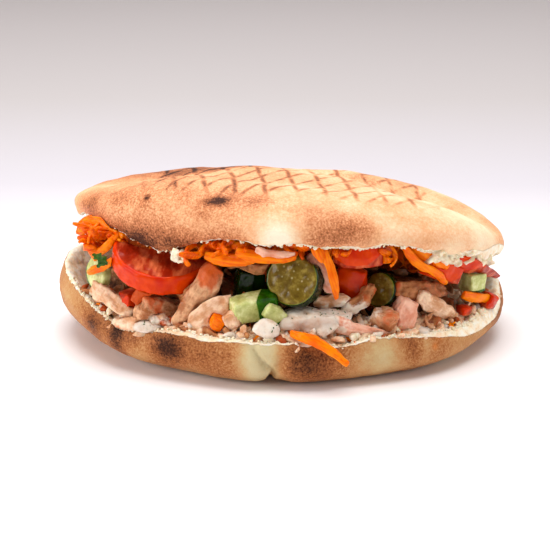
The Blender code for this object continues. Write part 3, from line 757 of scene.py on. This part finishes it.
# For each piece where its skin lies: round a slice's middle, axis and radius, or on the side of a
# plane that passes a point at a distance, all in millimetres.
TOMATOES = {
    "slice_left": ("round", (-50.6, -40.5, 46), (0.12, -0.34, 0.93), 21),
    "strip": ("side", (33, -62, 53.5), (0.1, -0.75, 0.35), -1.6),
    "chunk_right": ("side", (69, -41.5, 43), (0.45, -0.7, 0.45), -3.0),
    "slice_right": ("side", (83, -29.5, 40), (0.2, -0.3, 0.9), -1.2),
    "piece_left": ("side", (-61, -44, 28), (0.0, -0.7, -0.5), 1.5),
    "inner": ("side", (29, -53, 38), (0.0, -0.9, 0.2), -1.5),
    "bit_front": ("side", (79, -37, 21), (0.3, -0.9, 0.2), 0.0),
    "bit_rim": ("side", (91, -23, 20), (0.6, -0.7, 0.2), 0.0),
}
CUCUMBERS = {
    "half": ("round", (5.4, -61.6, 43), (-0.35, -0.9, 0.3), 11.6),
    "slab_left": ("round", (-77.6, -31.5, 37), (-0.85, -0.5, 0.15), 8.6),
    "slice_middle": ("round", (41.4, -47.6, 34), (-0.5, -0.8, 0.3), 7.6),
    "chunk": ("side", (-9.0, -65, 32), (0.95, -0.25, 0.1), 0.0),
    "cube": ("side", (-3, -68, 27.5), (0.2, 0.2, -1.0), 0.0),
    "cube_right": ("side", (83, -27, 27.6), (0.1, -0.1, -1.0), 0.0),
    "shaded": ("side", (-13, -54, 38), (0.2, -0.9, 0.1), -4.0),
}
# Cucumber pieces that take the finish with painted shade.
SHADED_CUCUMBERS = ("half", "slice_middle", "shaded")


def skin_mask(points, rule):
    """Where a piece shows its skin, and where its seeds, from 0 to 1."""
    kind, middle, axis, size = rule
    axis = axis / np.linalg.norm(axis)
    if kind == "round":
        away = points - np.array(middle) * MM
        away = away - (away @ axis)[:, None] * axis
        share = np.linalg.norm(away, axis=1) / (size * MM)
        return smoothstep(0.86, 0.98, share), 1 - smoothstep(0.45, 0.75, share)
    beyond = (points / MM - middle) @ axis - size
    return smoothstep(-0.9, 0.9, beyond), np.zeros(len(points))


def make_cut_vegetables():
    for table, slot, lumps in ((TOMATOES, "tomato", 0.25), (CUCUMBERS, "cucumber", 0.16)):
        for piece, rule in table.items():
            node = slot + "_" + piece
            obj = food(node, lumps, 0.7, 5.0)
            skin, seeded = skin_mask(points_of(obj.data), rule)
            store(obj.data, "skin", skin)
            store(obj.data, "seeded", seeded)
            cucumber = "cucumber_shaded" if piece in SHADED_CUCUMBERS else "cucumber_fresh"
            finish = "tomato_flesh_and_skin" if slot == "tomato" else cucumber
            finished(obj, finish, slot, node)


def make_sauce():
    """The white sauce, lumpiest in its big patch."""
    made = []
    for piece, lumps, warp in (("blob", 0.7, 0.8), ("left", 0.7, 0.8), ("pool", 2.0, 1.6)):
        obj = food("sauce_" + piece, lumps, warp, 7.0, smooth=6, grow=0.3)
        made.append(finished(obj, "white_sauce", "sauce", "sauce_" + piece))
    return made


# ---- filling: many small things
class Heap:
    """Many small shapes gathered into one mesh."""

    def __init__(self):
        self.points, self.own, self.faces, self.count = [], [], [], 0

    def add(self, points, faces, own):
        """Adds a shape, with the same points in its own axes."""
        self.points.append(points)
        self.own.append(own)
        self.faces.append(faces + self.count)
        self.count += len(points)

    def made(self, name, finish, slot):
        mesh = bpy.data.meshes.new(name)
        faces = np.concatenate(self.faces)
        points = np.concatenate(self.points)
        mesh.from_pydata(points.tolist(), [], faces.tolist())
        obj = made_object(name, mesh)
        store(mesh, "grain", np.concatenate(self.own))
        store(mesh, "spiced", 0.3 * value_noise(points, 9, 5))
        store(mesh, "sauced", spots(points, SAUCED))
        mesh.shade_smooth()
        return finished(obj, finish, slot)


def block_shape(cuts, roundness):
    """A rounded block about two units each way, as points and four-sided faces."""
    bm = bmesh.new()
    bmesh.ops.create_cube(bm, size=2.0)
    bmesh.ops.subdivide_edges(bm, edges=bm.edges, cuts=cuts, use_grid_fill=True)
    for vert in bm.verts:
        vert.co = vert.co.lerp(vert.co.normalized() * 1.15, roundness)
    bm.verts.index_update()
    points = np.array([vert.co for vert in bm.verts])
    faces = np.array([[vert.index for vert in face.verts] for face in bm.faces])
    bm.free()
    return points, faces


BLOCK = block_shape(4, 0.55)
SMALL_BLOCK = block_shape(2, 0.7)
SHARP_BLOCK = block_shape(3, 0.22)


def random_turn(rng, normal, tilt):
    """Axes of a piece that lies on a surface: its thin way near the surface's normal."""
    thin = normal + tilt * rng.normal(size=3)
    thin /= np.linalg.norm(thin)
    long = np.cross(thin, rng.normal(size=3))
    long /= np.linalg.norm(long)
    return np.array([long, np.cross(thin, long), thin])


def flake(rng, size, rough, bend, shape=BLOCK):
    """A torn flake of meat: size is its length, width and thickness in millimetres."""
    points, faces = shape
    own = points * size * MM / 2
    own = own * (1 - 0.35 * rng.uniform() * (points[:, :1] + 1) / 2)
    seed = int(rng.integers(1, 90))
    shift = np.stack([value_noise(own + 0.01 * k, 3.2, seed + k) for k in range(3)], 1)
    own = own + shift * rough * MM
    own[:, 2] += bend * (own[:, 0] ** 2) / (size[0] * MM)
    return own, faces


def ribbon(rng, length, width, thick, curl):
    """A grated ribbon along a curl, with one flat side. Lengths in millimetres, curl in radians."""
    steps, sides = 14, ((-1, -1), (1, -1), (1.15, 0), (1, 1), (-1, 1), (-1.15, 0))
    around = len(sides)
    heading, place, points = rng.uniform(0, 6.28), np.zeros(3), []
    wave, lift = rng.uniform(0.5, 1.3) * curl, rng.uniform(-0.5, 0.5)
    for i in range(steps + 1):
        share = i / steps
        heading += wave / steps
        ahead = np.array([math.cos(heading), math.sin(heading), lift * math.sin(3 * share)])
        place = place + ahead * length * MM / steps
        side = np.cross(ahead, (0, 0, 1.0))
        side /= np.linalg.norm(side)
        up = np.cross(side, ahead)
        taper = 1 - 0.6 * abs(2 * share - 1) ** 4
        for a, b in sides:
            points.append(place + (side * a * thick * 0.5 + up * b * width * 0.5 * taper) * MM)
    points = np.array(points)
    faces, last = [], steps * around
    for ring in range(0, last, around):
        for j in range(around):
            k = (j + 1) % around
            faces.append([ring + j, ring + k, ring + around + k, ring + around + j])
    faces += [[3, 2, 1, 0], [5, 4, 3, 0]]
    faces += [[last, last + 1, last + 2, last + 3], [last, last + 3, last + 4, last + 5]]
    return points - points.mean(0), np.array(faces)


def tree_of(mesh):
    """A search tree over a mesh's faces."""
    return BVHTree.FromPolygons(points_of(mesh).tolist(), [list(face.vertices) for face in mesh.polygons])


WALLS = tree_of(welded("bread"))


def in_bread(points):
    """Whether any of the points lies further inside the bread than a piece may be pressed."""
    for point in points:
        near, normal, _, far = WALLS.find_nearest(Vector(point))
        if near is not None and far > PRESSED_IN and (Vector(point) - near).dot(normal) < 0:
            return True
    return False


def mouth_hit(rng, tree):
    """A random point of a surface seen through the mouth, with its normal."""
    out = outward_at(rng.uniform(*MOUTH_DEGREES))
    height = rng.uniform(*MOUTH_HEIGHTS) * MM
    start = out * OUTSIDE + (0, 0, height + OUTSIDE * rng.uniform(-0.05, 0.30))
    end = out * NEAR_MIDDLE + (0, 0, height)
    hit, normal, _, _ = tree.ray_cast(Vector(start), Vector(end - start).normalized())
    return (None, None) if hit is None else (np.array(hit), np.array(normal))


def scatter(rng, heap, tree, make, count, tilt):
    """Lays pieces on a surface seen through the mouth, clear of the bread."""
    laid, tries = 0, 0
    while laid < count and tries < 12 * count:
        tries += 1
        hit, normal = mouth_hit(rng, tree)
        if hit is None:
            continue
        own, faces = make(rng)
        turn = random_turn(rng, normal, tilt)
        depth = np.abs(own[:, 2]).max()
        points = own @ turn + hit - normal * depth * 0.3
        if not in_bread(points[::5]):
            heap.add(points, faces, own)
            laid += 1


def make_core(name, node, finish, slot):
    """A heap's core, smaller than its CAD solid by what the scattered pieces stand proud."""
    obj = dense(name, node, CORE_VOXEL, 4)
    points, normals = points_of(obj.data), normals_of(obj.data)
    lift = 0.9 * layered(points, 7, 61) - 1.6
    move_points(obj.data, points + normals * lift[:, None] * MM)
    return finished(obj, finish, slot, node)


def meat_flake(rng):
    return flake(rng, rng.uniform((7, 3.5, 1.8), (15, 6.5, 3.6)), 0.9, rng.uniform(-1.2, 1.2))


def meat_shred(rng):
    return flake(rng, rng.uniform((6, 1.6, 1.2), (13, 3.0, 2.2)), 0.7, rng.uniform(-2, 2))


def dice(rng):
    return flake(rng, rng.uniform((3.5, 3, 3), (6.5, 5, 4.5)), 0.4, 0, SHARP_BLOCK)


def grated(rng):
    length, width, thick = rng.uniform(12, 26), rng.uniform(1.8, 3.6), rng.uniform(0.9, 1.5)
    return ribbon(rng, length, width, thick, rng.uniform(-4, 4))


# Bunches of grated carrot: middle and reach, how many, and how long and wide the ribbons are.
CARROT_BUNCHES = (
    ((-77, -34, 53), (6, 5, 4), 26, (9, 16), (1.6, 3.4)),
    ((-20, -60, 56), (20, 4, 2.5), 30, (8, 16), (2.4, 4.6)),
    ((14, -62, 57), (14, 4, 2.0), 12, (8, 14), (2.4, 4.4)),
    ((42, -54, 53), (12, 4, 2.5), 10, (8, 14), (2.0, 4.0)),
    ((66, -38, 44), (8, 5, 4), 8, (8, 12), (2.0, 3.6)),
)
BUNCH_REACH = (9.0, 7.0, 6.0)


def lay_bunches(rng, heap):
    """Grated carrot in bunches, without ribbons that would leave them or enter the bread."""
    for middle, reach, count, lengths, widths in CARROT_BUNCHES:
        for _ in range(count):
            own, faces = ribbon(rng, rng.uniform(*lengths), rng.uniform(*widths), 1.0, rng.uniform(-5, 5))
            place = middle + rng.uniform(-1, 1, 3) * reach
            points = own @ random_turn(rng, (0, -0.35, 0.9), 0.35) + place * MM
            low, high = place - BUNCH_REACH, place + BUNCH_REACH
            kept = ((points / MM > low) & (points / MM < high)).all()
            if kept and not in_bread(points[::5]):
                heap.add(points, faces, own)


def make_heaps():
    """Chopped meat, grated carrot and salad over a smaller core, as thick as the CAD heaps."""
    rng = np.random.default_rng(20)
    meat_core = make_core("meat_core", "meat_heap", "meat_core_painted_shade", "chicken")
    salad_core = make_core("salad_core", "salad_heap", "salad_core_painted_shade", "carrot")
    meat_tree, salad_tree = tree_of(meat_core.data), tree_of(salad_core.data)
    flakes, shreds, carrot, tomato, cucumber = Heap(), Heap(), Heap(), Heap(), Heap()
    scatter(rng, flakes, meat_tree, meat_flake, count=150, tilt=0.35)
    scatter(rng, shreds, meat_tree, meat_shred, count=90, tilt=0.6)
    scatter(rng, cucumber, meat_tree, dice, count=14, tilt=1.0)
    scatter(rng, carrot, salad_tree, grated, count=170, tilt=0.5)
    lay_bunches(rng, carrot)
    scatter(rng, tomato, salad_tree, dice, count=22, tilt=1.0)
    scatter(rng, flakes, salad_tree, meat_flake, count=26, tilt=0.6)
    flakes.made("chicken_flakes", "chicken_flakes", "chicken")
    shreds.made("chicken_shreds", "chicken_roast", "pale_chicken")
    carrot.made("carrot_ribbons", "grated_carrot", "carrot")
    tomato.made("tomato_dice", "tomato_flesh_and_skin", "tomato")
    cucumber.made("cucumber_dice", "cucumber_fresh", "cucumber")


# ---- small things on the rims
def rim_point(tree, degrees, upper):
    """The highest point of the base's rim, or the lowest of the lid's, in one direction."""
    out = outward_at(degrees)
    best = None
    for reach in np.arange(62, 102, 0.75) * MM:
        start = out * reach
        start[2] = cut_middle(start[None])[0]
        hit, _, _, far = tree.ray_cast(Vector(start), Vector((0, 0, 1.0 if upper else -1.0)))
        if hit is None or far > 0.03:
            continue
        if best is None or (hit.z < best[2] if upper else hit.z > best[2]):
            best = np.array(hit)
    return best


# Small torn bits between the big pieces and the base's rim: name, finish, slot, share of them,
# smallest and largest size in millimetres, roughness and shape.
SCRAPS = (
    ("rim_threads", "chicken_white", "pale_chicken", 0.40, (5, 2.2, 1.6), (13, 4.6, 2.6), 1.0, BLOCK),
    ("rim_bits", "chicken_roast", "chicken", 0.17, (4, 3.0, 2.2), (8, 5.5, 3.6), 0.9, BLOCK),
    ("rim_sauce", "white_sauce", "sauce", 0.15, (3, 2.5, 1.5), (7, 5.0, 3.0), 0.9, SMALL_BLOCK),
    ("rim_carrot", "carrot_flesh", "carrot", 0.10, (3, 1.4, 1.0), (8, 2.4, 1.6), 0.4, SMALL_BLOCK),
    ("rim_crumb", "loose_crumb", "bread", 0.18, (2.5, 2.0, 1.6), (6, 4.4, 3.0), 1.2, SMALL_BLOCK),
)
SCRAP_COUNT = 620


def make_rim_scraps(bread_tree):
    """Lays the scraps along the base's rim from left to right, deeper in at the right."""
    rng = np.random.default_rng(33)
    heaps = [Heap() for _ in SCRAPS]
    chances = [row[3] for row in SCRAPS]
    for turn_share in np.linspace(0, 1, SCRAP_COUNT) ** 0.8:
        degrees = 192 + 166 * turn_share
        crest = rim_point(bread_tree, degrees, False)
        kind = rng.choice(len(SCRAPS), p=chances)
        smallest, largest, rough, shape = SCRAPS[kind][4:]
        inward = rng.uniform(1.8, 12.0 + 5.0 * turn_share)
        own, faces = flake(rng, rng.uniform(smallest, largest), rough, rng.uniform(-1.5, 1.5), shape)
        turn = random_turn(rng, (0, -0.3, 1.0), 0.55)
        if crest is None:
            continue
        place = crest - outward_at(degrees) * inward * MM
        place[2] += (-0.7 + 0.24 * inward + rng.uniform(-1.4, 0.9)) * MM
        heaps[kind].add(own @ turn + place, faces, own)
    for heap, (name, finish, slot, *_) in zip(heaps, SCRAPS):
        heap.made(name, finish, slot)


# Crumbs on each rim, torn flakes at the right of the lid, and those that hang at its left.
LID_CRUMBS, BASE_CRUMBS = 420, 360
RIGHT_FLAKES, HANGING_FLAKES = 46, 7
HANGING_PLACE = (-42.0, -60.5, 53.0)


def make_crumbs(bread_tree):
    """Torn flakes of crumb along both rims, and the big one that hangs at the left of the lid."""
    rng = np.random.default_rng(7)
    heap = Heap()
    for upper, count in ((True, LID_CRUMBS), (False, BASE_CRUMBS)):
        for _ in range(count):
            degrees = rng.uniform(188, 357)
            at_right = math.exp(-(((degrees - 340) / 16) ** 2))
            size = rng.uniform((0.7, 0.6, 0.5), (2.0, 1.6, 1.2)) * (1 + 1.6 * at_right * rng.uniform())
            own, faces = flake(rng, size, 0.5, rng.uniform(-0.6, 0.6), SMALL_BLOCK)
            turn = random_turn(rng, (0, 0, 1.0), 1.2)
            crest = rim_point(bread_tree, degrees, upper)
            shift = rng.uniform(-0.5, 0.4) * MM
            brown_edge = upper and degrees < 268 and rng.uniform() < 0.75
            if crest is not None and not brown_edge:
                crest[2] += -shift if upper else shift
                heap.add(own @ turn + crest, faces, own)
    for _ in range(RIGHT_FLAKES):
        degrees = rng.uniform(322, 353)
        own, faces = flake(rng, rng.uniform((3.0, 2.4, 1.4), (8.0, 5.0, 2.6)), 1.3, rng.uniform(-1, 1))
        crest = rim_point(bread_tree, degrees, True)
        if crest is not None:
            crest = crest - outward_at(degrees) * rng.uniform(-0.5, 5) * MM
            crest[2] -= rng.uniform(-0.8, 2.6) * MM
            heap.add(own @ random_turn(rng, (0, -0.3, 1.0), 0.5) + crest, faces, own)
    for _ in range(HANGING_FLAKES):
        own, faces = flake(rng, rng.uniform((2.5, 2, 1.5), (5.5, 3.5, 2.5)), 1.2, 0)
        place = HANGING_PLACE + rng.normal(size=3) * (1.2, 0.8, 1.7)
        heap.add(own @ random_turn(rng, (0, -1.0, 0), 0.8) + place * MM, faces, own)
    heap.made("crumbs", "loose_crumb", "bread")


def leaf(length, width, lobes, bend):
    """A lobed leaf with a little thickness, lying along X, from lengths in millimetres."""
    across, along = 8, 22
    grid = []
    for side in (1, -1):
        for i in range(along + 1):
            share = i / along
            lobed = 0.72 + 0.28 * math.cos(lobes * 2 * math.pi * share)
            half = width / 2 * math.sin(math.pi * share) ** 0.6 * lobed
            for j in range(across + 1):
                y = (2 * j / across - 1) * half
                rise = bend * math.sin(2.2 * share) + 0.25 * abs(y) + 0.18 * side
                grid.append((share * length, y, rise))
    faces, step = [], across + 1
    under = (along + 1) * step
    for i in range(along):
        for j in range(across):
            a = i * step + j
            faces.append([a, a + step, a + step + 1, a + 1])
            faces.append([under + a, under + a + 1, under + a + step + 1, under + a + step])
        for a, b in ((i * step, i * step + step), (i * step + 2 * step - 1, i * step + step - 1)):
            faces.append([a, under + a, under + b, b])
    return np.array(grid) * MM, np.array(faces)


# Parsley leaves: length, width, lobes, bend, what they face, how far that may tilt, and place.
PARSLEY = (
    (9.0, 5.0, 3, 1.2, (0.1, -0.7, 0.7), 0.1, (-80.0, -40.5, 47.5)),
    (6.0, 4.0, 2, -0.8, (0.2, -0.8, 0.6), 0.2, (-74.0, -43.5, 47.0)),
)
DILL_COUNT = 34


def make_herbs(sauces):
    """Two parsley leaves at the left end, and dill flecks on the white sauce where it shows."""
    rng = np.random.default_rng(11)
    parsley, dill = Heap(), Heap()
    for length, width, lobes, bend, facing, tilt, place in PARSLEY:
        own, faces = leaf(length, width, lobes, bend)
        parsley.add(own @ random_turn(rng, facing, tilt) + np.array(place) * MM, faces, own)
    parsley.made("parsley", "herb_leaf", "cucumber")
    points = np.concatenate([points_of(sauce.data) for sauce in sauces])
    normals = np.concatenate([normals_of(sauce.data) for sauce in sauces])
    in_view = np.flatnonzero((normals[:, 1] < 0.2) & (normals[:, 2] > -0.2))
    for _ in range(DILL_COUNT):
        own, faces = ribbon(rng, rng.uniform(0.5, 1.5), rng.uniform(0.25, 0.45), 0.25, rng.uniform(-1, 1))
        chosen = rng.choice(in_view)
        turn = random_turn(rng, normals[chosen], 0.1)[[0, 2, 1]]
        dill.add(own @ turn + points[chosen], faces, own)
    dill.made("dill", "herb_leaf", "cucumber")


# ---- stage
def make_camera():
    """The camera at the photograph's angle, level from side to side."""
    data = bpy.data.cameras.new("view")
    data.lens = LENS
    data.sensor_width = SENSOR
    data.clip_start = 0.05
    data.clip_end = 20.0
    camera = made_object("view", data)
    back = Vector((0.0, -math.cos(CAMERA_ELEVATION), math.sin(CAMERA_ELEVATION)))
    camera.location = AIM + back * CAMERA_DISTANCE
    camera.rotation_euler = (-back).to_track_quat("-Z", "Y").to_euler()
    bpy.context.scene.camera = camera


# Area lights: name, place, width and height, power, colour, and the point they face.
LIGHTS = (
    ("top", (0.0, -0.02, 0.90), (0.8, 0.6), 8.3, (1.0, 0.985, 0.97), (0, 0, 0.03)),
    ("back", (0.0, 0.95, 0.95), (2.2, 0.8), 10.0, (0.98, 0.98, 1.0), (0, 0.55, 0.0)),
    ("left", (-1.0, -0.35, 0.40), (0.8, 0.5), 7.5, (1.0, 0.99, 0.98), (0, 0, 0.03)),
    ("right", (1.0, -0.35, 0.40), (0.8, 0.5), 2.6, (1.0, 0.97, 0.94), (0, 0, 0.03)),
    ("front", (0.35, -1.10, 0.30), (0.5, 0.3), 0.35, (1.0, 0.97, 0.93), (0, 0, 0.03)),
)


def make_lights():
    for name, place, size, power, colour, aim in LIGHTS:
        data = bpy.data.lights.new(name, "AREA")
        data.shape = "RECTANGLE"
        data.size, data.size_y = size
        data.energy = power
        data.color = colour
        light = made_object(name, data)
        light.location = place
        light.rotation_euler = (Vector(aim) - Vector(place)).to_track_quat("-Z", "Y").to_euler()


def make_stage():
    """A wide, flat, pale floor, darker far behind as painted shade, soft lights all round and a warm sky.
    """
    bm = bmesh.new()
    bmesh.ops.create_grid(bm, x_segments=2, y_segments=2, size=6.0)
    mesh = bpy.data.meshes.new("floor")
    bm.to_mesh(mesh)
    bm.free()
    floor = made_object("floor", mesh)
    p = Paint("pale_floor", Roughness=0.45)
    # Painted shade: the floor's colour darkens with distance behind, standing in for the light falling
    # off.
    away = p.total(p.along((0, 1, 0)), p.scaled(p.noise(0.4, 1.0), 0, 1, 0, 0.06))
    near, middle, far = (252, 250, 253), (212, 208, 216), (204, 198, 199)
    shade = p.ramp(away, (0.06, near), (0.30, middle), (0.58, far), (1.0, (204, 197, 198)))
    mesh.materials.append(p.done(shade))
    make_lights()
    world = bpy.data.worlds.new("studio")
    world.use_nodes = True
    background = world.node_tree.nodes["Background"]
    background.inputs["Color"].default_value = (1.0, 0.92, 0.84, 1)
    background.inputs["Strength"].default_value = 0.26
    bpy.context.scene.world = world
    bpy.context.scene.view_settings.view_transform = "Standard"


make_camera()
make_stage()
bread_tree = tree_of(make_bread().data)
make_chicken()
make_carrots()
make_cut_vegetables()
sauces = make_sauce()
make_heaps()
make_rim_scraps(bread_tree)
make_crumbs(bread_tree)
make_herbs(sauces)
